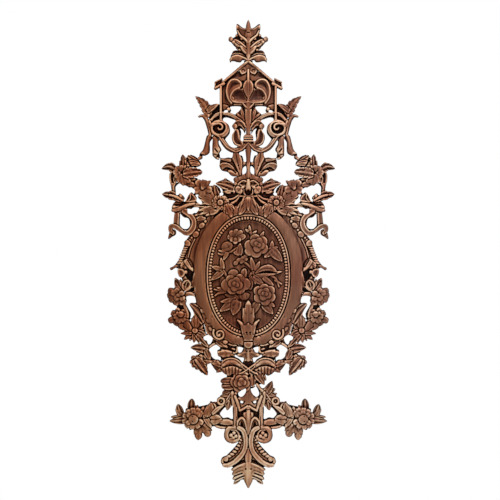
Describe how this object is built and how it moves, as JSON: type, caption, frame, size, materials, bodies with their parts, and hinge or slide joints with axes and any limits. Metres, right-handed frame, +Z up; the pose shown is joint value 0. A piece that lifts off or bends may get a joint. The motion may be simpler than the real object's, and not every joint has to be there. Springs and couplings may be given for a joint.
{
  "type": "carved wood applique",
  "caption": "Openwork carved wood applique: an oval medallion with a rose relief, a gabled crest with scrolls above, garlands at the sides and a scrolled drop with a palmette below.",
  "frame": {"origin": "centre of the back of the oval medallion, on the flat back of the carving", "axes": "+Z up to the finial, +Y out of the flat back towards what it is fixed to, so the carved face looks along -Y; +X to the right as seen from the front"},
  "size_m": [0.298, 0.0211, 0.8008],
  "materials": {
    "wood": "brown stain, waxed to a satin sheen, nearly black in the hollows"
  },
  "bodies": {
    "root": {"carved_applique": "wood"}
  },
  "joints": []
}
